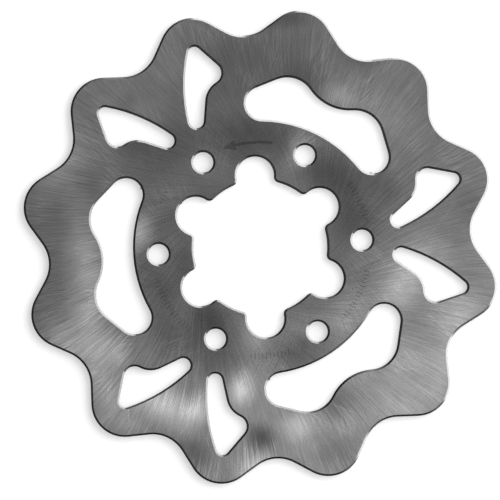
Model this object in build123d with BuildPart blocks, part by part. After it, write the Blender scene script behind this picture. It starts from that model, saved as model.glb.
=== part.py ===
from build123d import *
from math import acos, atan2, cos, degrees, hypot, pi, radians, sin, sqrt
import os

# Wave-edged brake disc, cut from one flat ground plate. Millimetres.
# Z = 0 is the face that sits on the wheel hub, Z = plate_thickness is the outer face.
# The origin is the centre of the bolt circle and +X runs through one bolt hole.

# Plate
plate_thickness = 4.0
chamfer_width = 0.8
chamfer_depth = 0.65

# Outer edge: equal waves, each a crest arc and a trough arc
wave_count = 12
crest_reach = 100.0
crest_radius = 13.9
trough_reach = 88.2
trough_radius = 14.4

# Bolt holes
bolt_count = 6
bolt_circle_diameter = 85.0
bolt_hole_diameter = 8.5

# Centre opening: a pilot circle with one round lobe between each pair of bolt holes
pilot_radius = 27.9
lobe_distance = 29.9
lobe_radius = 7.85
lobe_corner_radius = 2.3

# Long curved windows, each between two groups of fins. Angles are from the window's own axis
slot_count = 3
slot_first_angle = 60.0
slot_inner_edge = 53.0
slot_end_radius = 6.9
slot_end_angle = 25.3
slot_shoulder_radius = 11.65
slot_shoulder_distance = 60.1
slot_shoulder_angle = 15.1
slot_waist_distance = 85.5

# Fin windows in mirrored pairs. Each corner is a radius, a distance and an angle from the pair's axis.
# The neck is a distance and an angle: its arc is as large as it can be before it meets the heel
fin_pair_count = 3
fin_root = (3.05, 58.8, 7.2)
fin_tip = (2.7, 85.2, 15.3)
fin_heel = (4.5, 75.3, 18.1)
fin_neck = (61.7, 21.8)
fin_long_side_radius = 69.0

# Tiny proud spots left on the walls where the cutting began
start_spot_radius = 0.45
slot_spot_direction = -160.5
lobe_spot_angle = 147.0

# Shallow engraving on the outer face: a turning arrow and rows of plain tally bars.
# Each row is the angle of its first bar and how many bars it has
engraving_depth = 0.12
arrow_ring_radius = 43.6
arrow_first_angle = 80.0
arrow_last_angle = 100.0
arrow_line_width = 1.2
arrow_head_length = 5.2
arrow_head_width = 4.6
tally_ring_radius = 45.4
tally_bar_length = 2.7
tally_short_length = 1.5
tally_short_every = 3
tally_bar_width = 0.4
tally_step_angle = 2.0
tally_rows = [(11.0, 11), (-45.0, 15), (-99.0, 11), (146.0, 4), (193.0, 17)]

# Which way an edge turns round a guide circle, and how near two circles count as touching
AROUND = 1
BACK = -1
touching = 1e-4


def at_polar(distance, angle):
    """The point at a distance and an angle in degrees from the disc's centre."""
    return (distance * cos(radians(angle)), distance * sin(radians(angle)))


def guide(radius, distance, angle, side):
    """One guide circle of an outline: centre, radius and which way the edge turns round it."""
    x, y = at_polar(distance, angle)
    return (x, y, radius, side)


def shared_tangent(first, second):
    """End points of the straight line that leaves one guide circle and meets the next."""
    x1, y1, radius1, side1 = first
    x2, y2, radius2, side2 = second
    span = hypot(x2 - x1, y2 - y1)
    offset = side1 * radius1 - side2 * radius2
    if abs(offset) > span + touching:
        raise ValueError("two guide circles of an outline overlap")
    along = max(-1.0, min(1.0, offset / span))
    across = sqrt(1.0 - along * along)
    ex, ey = (x2 - x1) / span, (y2 - y1) / span
    nx = ex * along + ey * across
    ny = ey * along - ex * across
    start = (x1 + side1 * radius1 * nx, y1 + side1 * radius1 * ny)
    finish = (x2 + side2 * radius2 * nx, y2 + side2 * radius2 * ny)
    if hypot(finish[0] - start[0], finish[1] - start[1]) < touching:
        finish = start
    return start, finish


def arc_round(circle, start, finish):
    """The arc from start to finish round one guide circle, turning the way its side says."""
    x, y, radius, side = circle
    first = atan2(start[1] - y, start[0] - x)
    last = atan2(finish[1] - y, finish[0] - x)
    turn = side * ((side * (last - first)) % (2 * pi))
    middle = (x + radius * cos(first + turn / 2), y + radius * sin(first + turn / 2))
    ThreePointArc(start, middle, finish)


def draw_belt(circles):
    """Draw a closed edge that runs round the guide circles like a belt."""
    count = len(circles)
    tangents = [shared_tangent(circles[i], circles[(i + 1) % count]) for i in range(count)]
    for i in range(count):
        arrives = tangents[i - 1][1]
        leaves, meets = tangents[i]
        arc_round(circles[i], arrives, leaves)
        if meets != leaves:
            Line(leaves, meets)


def outer_edge():
    circles = []
    step = 360.0 / wave_count
    for k in range(wave_count):
        crest_angle = step * (k + 0.5)
        circles.append(guide(crest_radius, crest_reach - crest_radius, crest_angle, AROUND))
        circles.append(guide(trough_radius, trough_reach + trough_radius, crest_angle + step / 2, BACK))
    return circles


def centre_opening():
    circles = []
    step = 360.0 / bolt_count
    corner_distance = pilot_radius + lobe_corner_radius
    reach = lobe_radius + lobe_corner_radius
    spread = (corner_distance**2 + lobe_distance**2 - reach**2) / (2 * corner_distance * lobe_distance)
    corner_angle = degrees(acos(spread))
    for k in range(bolt_count):
        lobe_angle = step * (k + 0.5)
        circles.append((0.0, 0.0, pilot_radius, AROUND))
        circles.append(guide(lobe_corner_radius, corner_distance, lobe_angle - corner_angle, BACK))
        circles.append(guide(lobe_radius, lobe_distance, lobe_angle, AROUND))
        circles.append(guide(lobe_corner_radius, corner_distance, lobe_angle + corner_angle, BACK))
    return circles


def touching_radius(distance, angle, corner):
    """The radius of the circle at this place that just touches a corner's circle."""
    corner_radius, corner_distance, corner_angle = corner
    x, y = at_polar(distance, angle)
    corner_x, corner_y = at_polar(corner_distance, corner_angle)
    return hypot(corner_x - x, corner_y - y) - corner_radius


def long_window(axis):
    end_distance = slot_inner_edge + slot_end_radius
    shoulder = (slot_shoulder_radius, slot_shoulder_distance, slot_shoulder_angle)
    slot_waist_radius = touching_radius(slot_waist_distance, 0.0, shoulder)
    return [
        guide(slot_end_radius, end_distance, axis - slot_end_angle, AROUND),
        guide(slot_shoulder_radius, slot_shoulder_distance, axis - slot_shoulder_angle, AROUND),
        guide(slot_waist_radius, slot_waist_distance, axis, BACK),
        guide(slot_shoulder_radius, slot_shoulder_distance, axis + slot_shoulder_angle, AROUND),
        guide(slot_end_radius, end_distance, axis + slot_end_angle, AROUND),
        (0.0, 0.0, slot_inner_edge, BACK),
    ]


def arc_over(first, second, radius):
    """The circle of this radius that holds two corner circles and touches both, as a corner."""
    radius1, distance1, angle1 = first
    radius2, distance2, angle2 = second
    x1, y1 = at_polar(distance1, angle1)
    x2, y2 = at_polar(distance2, angle2)
    reach1, reach2 = radius - radius1, radius - radius2
    span = hypot(x2 - x1, y2 - y1)
    along = (reach1**2 - reach2**2 + span**2) / (2 * span)
    across = sqrt(reach1**2 - along**2)
    ex, ey = (x2 - x1) / span, (y2 - y1) / span
    x = x1 + ex * along - ey * across
    y = y1 + ey * along + ex * across
    return (radius, hypot(x, y), degrees(atan2(y, x)))


def fin_window(axis, mirror):
    neck_radius = touching_radius(*fin_neck, fin_heel)
    corners = [
        (fin_root, AROUND),
        ((neck_radius, *fin_neck), BACK),
        (fin_heel, AROUND),
        (fin_tip, AROUND),
        (arc_over(fin_root, fin_tip, fin_long_side_radius), AROUND),
    ]
    if mirror > 0:
        corners.reverse()
    return [guide(size, distance, axis + mirror * angle, side) for (size, distance, angle), side in corners]


slot_axes = [slot_first_angle + 360.0 / slot_count * k for k in range(slot_count)]
fin_axes = [360.0 / fin_pair_count * k for k in range(fin_pair_count)]

windows = [long_window(axis) for axis in slot_axes]
for axis in fin_axes:
    windows.append(fin_window(axis, 1))
    windows.append(fin_window(axis, -1))

with BuildPart() as brake_disc:
    # Plate blank
    with BuildSketch(Plane.XY):
        with BuildLine():
            draw_belt(outer_edge())
        make_face()
    extrude(amount=plate_thickness)

    # Centre opening and bolt holes
    with BuildSketch(Plane.XY):
        with BuildLine():
            draw_belt(centre_opening())
        make_face()
        with PolarLocations(bolt_circle_diameter / 2, bolt_count):
            Circle(bolt_hole_diameter / 2)
    extrude(amount=plate_thickness, mode=Mode.SUBTRACT)

    # Long windows and fin windows
    for window in windows:
        with BuildSketch(Plane.XY):
            with BuildLine():
                draw_belt(window)
            make_face()
        extrude(amount=plate_thickness, mode=Mode.SUBTRACT)

    # Every rim on both faces is broken by the same small chamfer, a little wider than it is deep
    for side in (0, -1):
        rims = brake_disc.edges().group_by(Axis.Z)[side]
        face = brake_disc.faces().sort_by(Axis.Z)[side]
        chamfer(rims, chamfer_width, length2=chamfer_depth, reference=face)

    # Start spots, on the straight part of the walls only
    spots = []
    for axis in slot_axes:
        end_x, end_y = at_polar(slot_inner_edge + slot_end_radius, axis - slot_end_angle)
        out_x, out_y = at_polar(slot_end_radius, axis + slot_spot_direction)
        spots.append((end_x + out_x, end_y + out_y))
    spots.append(at_polar(lobe_distance + lobe_radius, lobe_spot_angle))
    with BuildSketch(Plane.XY.offset(chamfer_depth)):
        with Locations(*spots):
            Circle(start_spot_radius)
    extrude(amount=plate_thickness - 2 * chamfer_depth)

    # Engraving on the outer face
    head_x, head_y = at_polar(arrow_ring_radius, arrow_last_angle)
    with BuildSketch(Plane.XY.offset(plate_thickness)):
        SlotArc(
            CenterArc((0, 0), arrow_ring_radius, arrow_first_angle, arrow_last_angle - arrow_first_angle),
            arrow_line_width,
        )
        with Locations(Location((head_x, head_y, 0), (0, 0, arrow_last_angle))):
            Polygon(
                (arrow_head_width / 2, 0),
                (0, arrow_head_length),
                (-arrow_head_width / 2, 0),
                align=None,
            )
        for first_angle, bar_count in tally_rows:
            for k in range(bar_count):
                bar_angle = first_angle + tally_step_angle * k
                bar_x, bar_y = at_polar(tally_ring_radius, bar_angle)
                bar_length = tally_bar_length if k % tally_short_every else tally_short_length
                with Locations(Location((bar_x, bar_y, 0), (0, 0, bar_angle))):
                    Rectangle(bar_length, tally_bar_width)
    extrude(amount=-engraving_depth, mode=Mode.SUBTRACT)

brake_disc.part.label = "brake_disc"
os.makedirs("parts", exist_ok=True)
export_step(brake_disc.part, "parts/brake_disc.step")
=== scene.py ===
import bpy
import math
from mathutils import Matrix, Vector


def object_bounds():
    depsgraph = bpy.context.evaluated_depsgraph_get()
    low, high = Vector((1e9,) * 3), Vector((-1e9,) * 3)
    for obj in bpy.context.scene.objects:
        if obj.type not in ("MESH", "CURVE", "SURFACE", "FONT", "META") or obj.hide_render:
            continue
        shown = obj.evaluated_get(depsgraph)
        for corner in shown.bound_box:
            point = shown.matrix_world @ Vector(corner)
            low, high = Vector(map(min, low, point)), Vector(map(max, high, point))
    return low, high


# The looks of a wave-edged brake disc that lies flat on a pale studio floor. Metres.
# The disc's CAD node keeps its shape; this script gives it its ground steel, light and camera.

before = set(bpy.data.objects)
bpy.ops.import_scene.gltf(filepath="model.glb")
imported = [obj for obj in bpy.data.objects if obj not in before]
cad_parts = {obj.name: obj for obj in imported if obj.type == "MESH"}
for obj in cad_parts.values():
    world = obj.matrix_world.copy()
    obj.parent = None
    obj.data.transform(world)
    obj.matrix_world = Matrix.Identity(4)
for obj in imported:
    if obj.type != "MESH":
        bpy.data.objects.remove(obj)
cad_low, cad_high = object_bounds()

MM = 0.001

# The disc's hub face lies at height 0, so the top of its box gives its thickness, in millimetres
THICKNESS = cad_high.z / MM

# View: straight down, leaning a little, with the disc's +X turned slightly from the picture's right.
# Each azimuth among these values is an angle from the picture's right, as the camera sees it
VIEW_DISTANCE = 3.0
VIEW_WIDTH = 208.1 * MM
VIEW_LEAN = math.radians(3.2)
VIEW_LEAN_TOWARDS = math.radians(210.0)
VIEW_TURN = math.radians(4.12)
VIEW_CLIP_END = 50.0
DISC_RIGHT_OF_CENTRE = 4.23 * MM
DISC_ABOVE_CENTRE = 1.20 * MM
SENSOR_WIDTH = 36.0

# Key panel, and a low curved row of panels on the same side that lights the chamfers. Azimuths,
# rises, widths and heights are degrees as seen from the disc's centre, and lights are radiances
PANEL_DISTANCE = 1.2
KEY_AZIMUTH = 30.0
KEY_RISE = 50.0
KEY_WIDTH = 50.0
KEY_HEIGHT = 46.0
KEY_LIGHT = 2.4
EDGE_PANELS = 5
EDGE_SPREAD = 120.0
EDGE_RISE = 7.5
EDGE_HEIGHT = 9.0
EDGE_LIGHT = 4.6

# A small square panel that faces straight down from above and beside the disc
TOP_AZIMUTH = 300.0
TOP_OFFSET = 0.16
TOP_HEIGHT = 0.45
TOP_SIZE = 0.26
TOP_LIGHT = 0.65

# The room is pale at the horizon and dimmer overhead. Opposite the key panel it has a low dark band,
# which the chamfers on that side reflect. A height is 0 at the horizon and 1 straight up, and the
# side fade is the same measure towards the band's azimuth. Each fade says where the band begins to
# show and where it shows in full
HORIZON_LIGHT = 0.52
HORIZON_HEIGHT = 0.3
CEILING_LIGHT = 0.27
CEILING_HEIGHT = 0.85
BAND_LIGHT = 0.03
BAND_AZIMUTH = 210.0
BAND_SIDE_FADE = (-0.25, 0.15)
BAND_BOTTOM_FADE = (0.02, 0.08)
BAND_TOP_FADE = (0.40, 0.26)

# Floor
FLOOR_HALF_SIZE = 8.0
FLOOR_GAP = 0.05 * MM
FLOOR_TONE = 0.9
FLOOR_ROUGHNESS = 0.9
FLOOR_GLOW = 0.46

# The grinding lines leave the hub at a slant and curve out to the rim. Along one line
# angle + SWEEP / distance + CURL * ln(distance) stays the same, with distance in millimetres
SWEEP = 49.0
CURL = 0.44
SCRATCH_SWEEP = 0.7 * SWEEP

# Kinds of mark along such lines: how many in a radian, their length in millimetres, then the detail
# and roughness of the noise that draws them
LINES = (140.0, 26.0, 3.0, 0.7)
HAIRS = (340.0, 12.0, 2.0, 0.6)
CROSSING = (150.0, 9.0, 2.0, 0.7)
BROAD = (12.0, 16.0, 2.0, 0.6)
SCRATCHES = (130.0, 16.0, 1.0, 0.5)

# Noise without direction on the face: scale in cells per metre, detail and roughness
CLOUDS = (70.0, 3.0, 0.55)
GRAIN = (1500.0, 2.0, 0.6)

# Noise is read between these two values. Beyond them it counts as the nearer one
NOISE_LOW = 0.25
NOISE_HIGH = 0.75

# How far each kind of mark moves the tone of the face, as a share of the tone
LINE_TONE = 0.25
HAIR_TONE = 0.27
CROSS_TONE = 0.25
SCRATCH_TONE = 0.35
BROAD_TONE = 0.06
CLOUD_TONE = 0.16
ENGRAVED_DARKER = 0.36

# The grinding marks show more strongly by this swing towards this azimuth, the key panel's, and
# opposite it, and as much
# more weakly between: a painted sheen on the lines. Crossing lines show only where the clouds are
# dense, and only the peaks of their noise are scratches
SHEEN_AZIMUTH = 30.0
SHEEN_SWING = 0.2
CROSS_RANGE = (0.3, 0.7)
CROSS_WHERE = (0.45, 0.65)
SCRATCH_PEAK = (0.70, 0.76)

# The grain's strength, and the distances in millimetres between which it changes
HUB_GRAIN = 0.24
RIM_GRAIN = 0.14
HUB_GRAIN_TO = 40.0
RIM_GRAIN_FROM = 62.0

# The engraving's depth in millimetres. A surface nearer to the height of its floor than the first
# margin is engraved, and one farther than the second is not
ENGRAVING_DEPTH = 0.12
ENGRAVED_NEAR = 0.04
ENGRAVED_FAR = 0.08

# Tone and roughness of bare metal, on the ground faces, the chamfers and the cut walls. The faces
# are smoother on the lines than between them: their roughness falls as the line noise rises
FACE_TONE = 0.275
CHAMFER_TONE = 0.2
WALL_TONE = 0.075
FACE_ROUGHNESS = (0.36, 0.28)
FACE_ROUGHNESS_NOISE = (0.3, 0.7)
CHAMFER_ROUGHNESS = 0.20
WALL_ROUGHNESS = 0.95
ANISOTROPY = 0.5
GLANCING_TINT = 0.5

# The normal's share that points up or down is 1 on the faces, 0.78 on the chamfers and 0 on the
# walls. Each pair says where a surface begins to count as face or wall, and where it counts in full
FACE_TILT = (0.85, 0.95)
WALL_TILT = (0.5, 0.3)

# Cutting marks on the walls and chamfers: noise drawn out along the disc's thickness, with cells
# per millimetre, detail and roughness. The walls also grow lighter towards the outer face
CUTS = (5.0, 3.0, 0.65)
CUT_SQUEEZE = 0.05
WALL_CUT_TONE = 0.45
CHAMFER_CUT_TONE = 0.25
WALL_FADE_HEIGHTS = (0.25 * THICKNESS, 0.8 * THICKNESS)
WALL_FADE_TONES = (0.8, 1.2)

# Bump: the lines and, more faintly, the hairs. On the walls it is the cutting marks
BUMP_STRENGTH = 0.2
BUMP_DEPTH = 0.02 * MM
HAIR_BUMP = 0.5

# Soft patches where the ground face is painted brighter or darker: painted reflections of the studio
# lights on the ground steel. The lines feather their edges a little. Each row is an azimuth in
# degrees, then the distance, the reach along the radius and the reach across it in millimetres, and
# the change of tone in doublings
REFLECTION_FEATHER = 0.04
REFLECTION_PATCHES = [
    (0, 0, 60, 60, -0.9),
    (95, 75, 36, 60, -0.9),
    (94, 46, 18, 40, -1.15),
    (45, 42, 16, 28, -1.15),
    (14, 42, 16, 14, -0.8),
    (134, 58, 18, 28, -0.8),
    (200, 46, 14, 30, -0.6),
    (197, 33, 8, 16, -0.6),
    (233, 34, 9, 12, -0.5),
    (140, 70, 10, 14, -0.6),
    (234, 38, 14, 16, -0.8),
    (246, 47, 18, 20, -1.1),
    (252, 90, 9, 14, -0.8),
    (270, 79, 8, 9, -1.4),
    (292, 47, 14, 26, -1.0),
    (296, 71, 10, 15, -0.7),
    (292, 92, 14, 16, -0.6),
    (186, 97, 10, 20, -0.6),
    (12, 90, 14, 20, -0.3),
    (63, 94, 14, 18, -0.8),
    (90, 98, 10, 42, -1.2),
    (45, 74, 16, 26, 0.4),
    (62, 71, 8, 12, 0.8),
    (68, 44, 12, 9, 1.3),
    (116, 82, 12, 14, 0.4),
    (158, 91, 18, 28, 0.9),
    (174, 51, 10, 13, 1.4),
    (187, 73, 14, 42, 1.2),
    (211, 82, 18, 32, 1.2),
    (216, 74, 9, 12, 0.5),
    (249, 72, 10, 11, 1.1),
    (226, 54, 12, 18, -0.7),
    (205, 93, 11, 16, 0.7),
    (228, 90, 14, 24, 0.8),
    (238, 77, 12, 24, 1.5),
    (262, 60, 12, 9, 1.3),
    (265, 36, 12, 10, 0.6),
    (282, 76, 9, 12, 0.9),
    (269, 94, 13, 13, 1.4),
    (357, 69, 16, 16, 0.8),
    (30, 56, 11, 20, -0.6),
    (75, 71, 12, 14, -0.5),
    (24, 76, 8, 12, 0.4),
    (311, 86, 18, 14, 0.4),
    (346, 60, 16, 20, 1.0),
    (318, 45, 14, 22, 0.4),
    (322, 76, 14, 20, 0.4),
    (328, 90, 14, 34, 0.5),
    (342, 86, 16, 16, 0.6),
    (132, 82, 4, 5, -0.3),
    (2, 83, 8, 5, -0.3),
]


def world_azimuth(view_angle):
    """The angle about +Z in the disc's frame of a direction given as the camera sees it."""
    return math.radians(view_angle) - VIEW_TURN


# ---------------------------------------------------------------- node helpers


class Graph:
    """Adds shader nodes to one node tree and wires plain values or sockets into them."""

    def __init__(self, tree):
        self.tree = tree

    def add(self, kind, **settings):
        node = self.tree.nodes.new(kind)
        for name, value in settings.items():
            setattr(node, name, value)
        return node

    def wire(self, value, socket):
        if isinstance(value, bpy.types.NodeSocket):
            self.tree.links.new(value, socket)
        else:
            socket.default_value = value

    def wire_all(self, values, sockets):
        for value, socket in zip(values, sockets):
            self.wire(value, socket)

    def math(self, operation, *values):
        node = self.add("ShaderNodeMath", operation=operation)
        self.wire_all(values, node.inputs)
        return node.outputs[0]

    def product(self, *values):
        result = values[0]
        for value in values[1:]:
            result = self.math("MULTIPLY", result, value)
        return result

    def vector(self, x, y, z):
        node = self.add("ShaderNodeCombineXYZ")
        self.wire_all((x, y, z), node.inputs)
        return node.outputs[0]

    def split(self, vector):
        node = self.add("ShaderNodeSeparateXYZ")
        self.wire(vector, node.inputs[0])
        return node.outputs

    def ramp(self, value, low, high, to_low=0.0, to_high=1.0, kind="SMOOTHSTEP"):
        node = self.add("ShaderNodeMapRange", interpolation_type=kind)
        self.wire_all((value, low, high, to_low, to_high), node.inputs)
        return node.outputs[0]

    def spread(self, value, amount):
        """A noise value about one half, as a factor about one."""
        return self.ramp(value, NOISE_LOW, NOISE_HIGH, 1.0 - amount, 1.0 + amount, kind="LINEAR")

    def noise(self, vector, scale, detail, roughness):
        node = self.add("ShaderNodeTexNoise")
        self.wire(vector, node.inputs["Vector"])
        node.inputs["Scale"].default_value = scale
        node.inputs["Detail"].default_value = detail
        node.inputs["Roughness"].default_value = roughness
        return node.outputs["Fac"]

    def mix(self, share, first, second):
        """The first value where share is nothing, and the second where it is one."""
        node = self.add("ShaderNodeMix", data_type="FLOAT")
        self.wire_all((share, first, second), (node.inputs[0], node.inputs[2], node.inputs[3]))
        return node.outputs[0]


# ---------------------------------------------------------------- ground steel


class DiscPlace:
    """The position on the disc, in millimetres and in polar form, as sockets of one graph."""

    def __init__(self, graph):
        self.graph = graph
        self.point = graph.add("ShaderNodeTexCoord").outputs["Object"]
        x, y, z = graph.split(self.point)
        self.x = graph.math("DIVIDE", x, MM)
        self.y = graph.math("DIVIDE", y, MM)
        self.z = graph.math("DIVIDE", z, MM)
        x_squared = graph.math("POWER", self.x, 2.0)
        y_squared = graph.math("POWER", self.y, 2.0)
        self.distance = graph.math("SQRT", graph.math("ADD", x_squared, y_squared))
        self.angle = graph.math("ARCTAN2", self.y, self.x)

    def marks(self, kind, sweep, curl):
        """Noise drawn out into long thin marks that follow the lines of a sweep and a curl."""
        graph = self.graph
        marks_per_radian, length, detail, roughness = kind
        slant = graph.math("DIVIDE", sweep, self.distance)
        bend = graph.math("MULTIPLY", graph.math("LOGARITHM", self.distance, math.e), curl)
        line = graph.math("ADD", graph.math("ADD", self.angle, slant), bend)
        position = graph.vector(
            graph.math("MULTIPLY", graph.math("COSINE", line), marks_per_radian),
            graph.math("MULTIPLY", graph.math("SINE", line), marks_per_radian),
            graph.math("DIVIDE", self.distance, length),
        )
        return graph.noise(position, 1.0, detail, roughness)

    def engraved(self):
        """One on the floor of the engraved marks, nothing elsewhere."""
        graph = self.graph
        off_floor = graph.math("SUBTRACT", self.z, THICKNESS - ENGRAVING_DEPTH)
        off_floor = graph.math("ABSOLUTE", off_floor)
        return graph.ramp(off_floor, ENGRAVED_FAR, ENGRAVED_NEAR)

    def across_lines(self):
        """The direction square to the grinding lines, in the plane of the disc."""
        graph = self.graph
        slope = graph.math("SUBTRACT", graph.math("DIVIDE", SWEEP, self.distance), CURL)
        along_x = graph.math("SUBTRACT", self.x, graph.math("MULTIPLY", slope, self.y))
        along_y = graph.math("ADD", self.y, graph.math("MULTIPLY", slope, self.x))
        return graph.vector(graph.math("MULTIPLY", along_y, -1.0), along_x, 0.0)


def painted_reflection_stops(graph, place, lines):
    """How far the painted reflection patches raise or lower the tone of the face, in doublings."""
    feathered = graph.add("ShaderNodeVectorMath", operation="SCALE")
    graph.wire(place.point, feathered.inputs[0])
    graph.wire(graph.spread(lines, REFLECTION_FEATHER), feathered.inputs["Scale"])
    stops = 0.0
    for view_angle, distance, along, across, change in REFLECTION_PATCHES:
        azimuth = world_azimuth(view_angle)
        patch = graph.add("ShaderNodeMapping", vector_type="TEXTURE")
        graph.wire(feathered.outputs[0], patch.inputs["Vector"])
        patch.inputs["Location"].default_value = (
            distance * MM * math.cos(azimuth),
            distance * MM * math.sin(azimuth),
            0.0,
        )
        patch.inputs["Rotation"].default_value = (0.0, 0.0, azimuth)
        patch.inputs["Scale"].default_value = (along * MM, across * MM, 1.0)
        away = graph.add("ShaderNodeVectorMath", operation="LENGTH")
        graph.wire(patch.outputs[0], away.inputs[0])
        lift = graph.ramp(away.outputs["Value"], 1.0, 0.0, 0.0, change)
        stops = graph.math("ADD", lift, stops)
    return stops


def ground_strokes(graph, place, lines, hairs, clouds):
    """Lines, hairs and crossing lines as a factor about one, stronger on two opposite quarters as a
    painted sheen.
    """
    crossing = graph.ramp(place.marks(CROSSING, -SWEEP, -CURL), *CROSS_RANGE, -CROSS_TONE, CROSS_TONE)
    hatch = graph.math("MULTIPLY_ADD", crossing, graph.ramp(clouds, *CROSS_WHERE), 1.0)
    strokes = graph.product(graph.spread(lines, LINE_TONE), graph.spread(hairs, HAIR_TONE), hatch)
    # Painted sheen: the lines' contrast swings with the azimuth, strongest towards the key panel and
    # opposite it
    turned = graph.math("SUBTRACT", place.angle, world_azimuth(SHEEN_AZIMUTH))
    quarter = graph.math("COSINE", graph.math("MULTIPLY", turned, 2.0))
    line_sheen = graph.math("MULTIPLY_ADD", quarter, SHEEN_SWING, 1.0)
    return graph.math("MULTIPLY_ADD", graph.math("SUBTRACT", strokes, 1.0), line_sheen, 1.0)


def hub_grain(graph, place):
    """A fine grain with no direction, strong at the hub and fainter towards the rim."""
    grain = graph.noise(place.point, *GRAIN)
    amount = graph.ramp(place.distance, HUB_GRAIN_TO, RIM_GRAIN_FROM, HUB_GRAIN, RIM_GRAIN)
    swing = graph.ramp(grain, NOISE_LOW, NOISE_HIGH, -1.0, 1.0, kind="LINEAR")
    return graph.math("MULTIPLY_ADD", swing, amount, 1.0)


def face_tone(graph, place, lines, hairs):
    """The tone of the ground faces, with their marks, painted reflection patches, painted sheen on
    the lines and engraving.
    """
    clouds = graph.noise(place.point, *CLOUDS)
    scratches = place.marks(SCRATCHES, SCRATCH_SWEEP, -CURL)
    return graph.product(
        # Painted reflections of the studio lights, as soft brighter and darker patches
        graph.math("POWER", 2.0, painted_reflection_stops(graph, place, lines)),
        # Grinding marks whose contrast carries a painted sheen towards the key panel's azimuth and
        # opposite it
        ground_strokes(graph, place, lines, hairs, clouds),
        hub_grain(graph, place),
        graph.ramp(scratches, *SCRATCH_PEAK, 1.0, 1.0 + SCRATCH_TONE),
        graph.spread(place.marks(BROAD, SWEEP, CURL), BROAD_TONE),
        graph.spread(clouds, CLOUD_TONE),
        graph.math("SUBTRACT", 1.0, graph.math("MULTIPLY", place.engraved(), ENGRAVED_DARKER)),
        FACE_TONE,
    )


def cut_tone(graph, place, cuts, is_wall):
    """The tone of the chamfers, and of the walls, which are darker and more strongly marked."""
    chamfer = graph.product(CHAMFER_TONE, graph.spread(cuts, CHAMFER_CUT_TONE))
    fade = graph.ramp(place.z, *WALL_FADE_HEIGHTS, *WALL_FADE_TONES)
    wall = graph.product(WALL_TONE, graph.spread(cuts, WALL_CUT_TONE), fade)
    return graph.mix(is_wall, chamfer, wall)


def steel_roughness(graph, lines, is_face, is_wall):
    """Faces that are smoother on the lines, smooth chamfers and rough walls."""
    face = graph.ramp(lines, *FACE_ROUGHNESS_NOISE, *FACE_ROUGHNESS, kind="LINEAR")
    cut = graph.mix(is_wall, CHAMFER_ROUGHNESS, WALL_ROUGHNESS)
    return graph.mix(is_face, cut, face)


def steel_bump(graph, lines, hairs, cuts, is_wall):
    """A normal that the grinding marks disturb, or on the walls the cutting marks."""
    bump = graph.add("ShaderNodeBump")
    bump.inputs["Strength"].default_value = BUMP_STRENGTH
    bump.inputs["Distance"].default_value = BUMP_DEPTH
    marks = graph.math("ADD", lines, graph.math("MULTIPLY", hairs, HAIR_BUMP))
    graph.wire(graph.mix(is_wall, marks, cuts), bump.inputs["Height"])
    return bump.outputs[0]


def ground_steel():
    """Bare steel: ground faces, smoother chamfers and dark walls with upright cutting marks."""
    material = bpy.data.materials.new("ground_steel")
    material.use_nodes = True
    graph = Graph(material.node_tree)
    shader = material.node_tree.nodes["Principled BSDF"]
    shader.inputs["Metallic"].default_value = 1.0
    shader.inputs["Anisotropic"].default_value = ANISOTROPY
    shader.inputs["Specular Tint"].default_value = (GLANCING_TINT, GLANCING_TINT, GLANCING_TINT, 1.0)

    place = DiscPlace(graph)
    lines = place.marks(LINES, SWEEP, CURL)
    hairs = place.marks(HAIRS, SWEEP, CURL)
    squeezed = graph.vector(place.x, place.y, graph.math("MULTIPLY", place.z, CUT_SQUEEZE))
    cuts = graph.noise(squeezed, *CUTS)
    normal = graph.split(graph.add("ShaderNodeNewGeometry").outputs["True Normal"])
    tilt = graph.math("ABSOLUTE", normal["Z"])
    is_face = graph.ramp(tilt, *FACE_TILT)
    is_wall = graph.ramp(tilt, *WALL_TILT)

    cut = cut_tone(graph, place, cuts, is_wall)
    tone = graph.mix(is_face, cut, face_tone(graph, place, lines, hairs))
    grey = graph.add("ShaderNodeCombineColor")
    for channel in grey.inputs:
        graph.wire(tone, channel)
    graph.wire(grey.outputs[0], shader.inputs["Base Color"])

    graph.wire(steel_roughness(graph, lines, is_face, is_wall), shader.inputs["Roughness"])
    graph.wire(steel_bump(graph, lines, hairs, cuts, is_wall), shader.inputs["Normal"])
    graph.wire(place.across_lines(), shader.inputs["Tangent"])
    return material


# ---------------------------------------------------------------- stage


def plain_floor():
    """A pale light table: it glows a little, so shadows on it stay soft."""
    half = FLOOR_HALF_SIZE
    corners = [(-half, -half, 0), (half, -half, 0), (half, half, 0), (-half, half, 0)]
    mesh = bpy.data.meshes.new("floor")
    mesh.from_pydata(corners, [], [(0, 1, 2, 3)])
    floor = bpy.data.objects.new("floor", mesh)
    floor.location.z = cad_low.z - FLOOR_GAP
    bpy.context.scene.collection.objects.link(floor)
    material = bpy.data.materials.new("floor_paper")
    material.use_nodes = True
    shader = material.node_tree.nodes["Principled BSDF"]
    shader.inputs["Base Color"].default_value = (FLOOR_TONE, FLOOR_TONE, FLOOR_TONE, 1.0)
    shader.inputs["Roughness"].default_value = FLOOR_ROUGHNESS
    shader.inputs["Specular IOR Level"].default_value = 0.0
    shader.inputs["Emission Color"].default_value = (1.0, 1.0, 1.0, 1.0)
    shader.inputs["Emission Strength"].default_value = FLOOR_GLOW
    mesh.materials.append(material)


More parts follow.
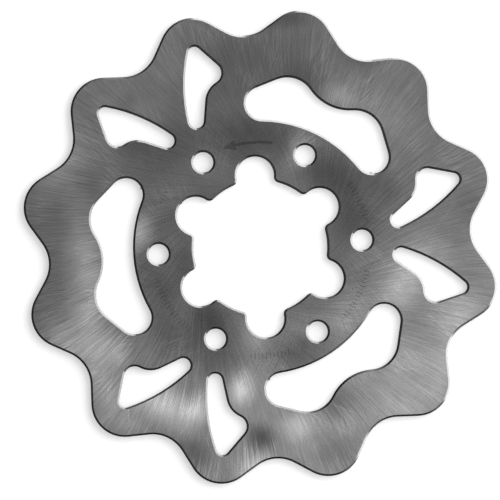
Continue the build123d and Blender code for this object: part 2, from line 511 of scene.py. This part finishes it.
def soft_room():
    """A pale room that grows dimmer towards its ceiling, with a low dark band on one side."""
    world = bpy.data.worlds.new("soft_room")
    bpy.context.scene.world = world
    world.use_nodes = True
    graph = Graph(world.node_tree)
    east, north, height = graph.split(graph.add("ShaderNodeTexCoord").outputs["Generated"])
    room = graph.ramp(height, HORIZON_HEIGHT, CEILING_HEIGHT, HORIZON_LIGHT, CEILING_LIGHT)
    azimuth = world_azimuth(BAND_AZIMUTH)
    towards_band = graph.math(
        "ADD",
        graph.math("MULTIPLY", east, math.cos(azimuth)),
        graph.math("MULTIPLY", north, math.sin(azimuth)),
    )
    band = graph.product(
        graph.ramp(towards_band, *BAND_SIDE_FADE),
        graph.ramp(height, *BAND_BOTTOM_FADE),
        graph.ramp(height, *BAND_TOP_FADE),
    )
    background = world.node_tree.nodes["Background"]
    background.inputs["Color"].default_value = (1.0, 1.0, 1.0, 1.0)
    graph.wire(graph.mix(band, room, BAND_LIGHT), background.inputs["Strength"])


def panel_light(name, place, aim, wide, high, radiance):
    """A soft rectangular panel that faces a point. Its brightness is given as radiance."""
    light = bpy.data.lights.new(name, "AREA")
    light.shape = "RECTANGLE"
    light.size = wide
    light.size_y = high
    light.energy = radiance * math.pi * wide * high
    lamp = bpy.data.objects.new(name, light)
    lamp.location = place
    lamp.rotation_euler = (place - aim).to_track_quat("Z", "Y").to_euler()
    lamp.visible_camera = False
    bpy.context.scene.collection.objects.link(lamp)


def panel_span(angle):
    """The length that fills an angle, in degrees, at the distance of the side panels."""
    return 2 * PANEL_DISTANCE * math.tan(math.radians(angle) / 2)


def side_panel(name, view_angle, rise, wide, high, radiance):
    """A panel beside the disc, its place and size given as angles seen from the disc's centre."""
    azimuth = world_azimuth(view_angle)
    lift = math.radians(rise)
    level = math.cos(lift)
    away = Vector((math.cos(azimuth) * level, math.sin(azimuth) * level, math.sin(lift)))
    place = away * PANEL_DISTANCE
    panel_light(name, place, Vector((0, 0, 0)), panel_span(wide), panel_span(high), radiance)


def lights():
    """The key panel, the low row on its side and the small panel overhead."""
    side_panel("key", KEY_AZIMUTH, KEY_RISE, KEY_WIDTH, KEY_HEIGHT, KEY_LIGHT)
    step = EDGE_SPREAD / EDGE_PANELS
    for k in range(EDGE_PANELS):
        view_angle = KEY_AZIMUTH + step * (k + 0.5 - EDGE_PANELS / 2)
        side_panel(f"edge_{k + 1}", view_angle, EDGE_RISE, step, EDGE_HEIGHT, EDGE_LIGHT)
    azimuth = world_azimuth(TOP_AZIMUTH)
    above = Vector((TOP_OFFSET * math.cos(azimuth), TOP_OFFSET * math.sin(azimuth), TOP_HEIGHT))
    panel_light("top", above, Vector((above.x, above.y, 0)), TOP_SIZE, TOP_SIZE, TOP_LIGHT)


def view_from_above():
    """The camera looks down and shows the disc a little to the right and above the middle."""
    right = Vector((math.cos(VIEW_TURN), -math.sin(VIEW_TURN), 0.0))
    up = Vector((math.sin(VIEW_TURN), math.cos(VIEW_TURN), 0.0))
    target = -right * DISC_RIGHT_OF_CENTRE - up * DISC_ABOVE_CENTRE
    lean = right * math.cos(VIEW_LEAN_TOWARDS) + up * math.sin(VIEW_LEAN_TOWARDS)
    back = Vector((0, 0, 1)) * math.cos(VIEW_LEAN) + lean * math.sin(VIEW_LEAN)
    side = up.cross(back).normalized()
    top = back.cross(side)
    data = bpy.data.cameras.new("camera")
    data.sensor_width = SENSOR_WIDTH
    data.lens = SENSOR_WIDTH * VIEW_DISTANCE / VIEW_WIDTH
    data.clip_end = VIEW_CLIP_END
    camera = bpy.data.objects.new("camera", data)
    turn = Matrix((side, top, back)).transposed().to_4x4()
    camera.matrix_world = Matrix.Translation(target + back * VIEW_DISTANCE) @ turn
    bpy.context.scene.collection.objects.link(camera)
    bpy.context.scene.camera = camera


view_from_above()
plain_floor()
soft_room()
lights()
bpy.context.scene.view_settings.view_transform = "Standard"

steel = ground_steel()
for material_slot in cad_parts["brake_disc"].material_slots:
    material_slot.material = steel
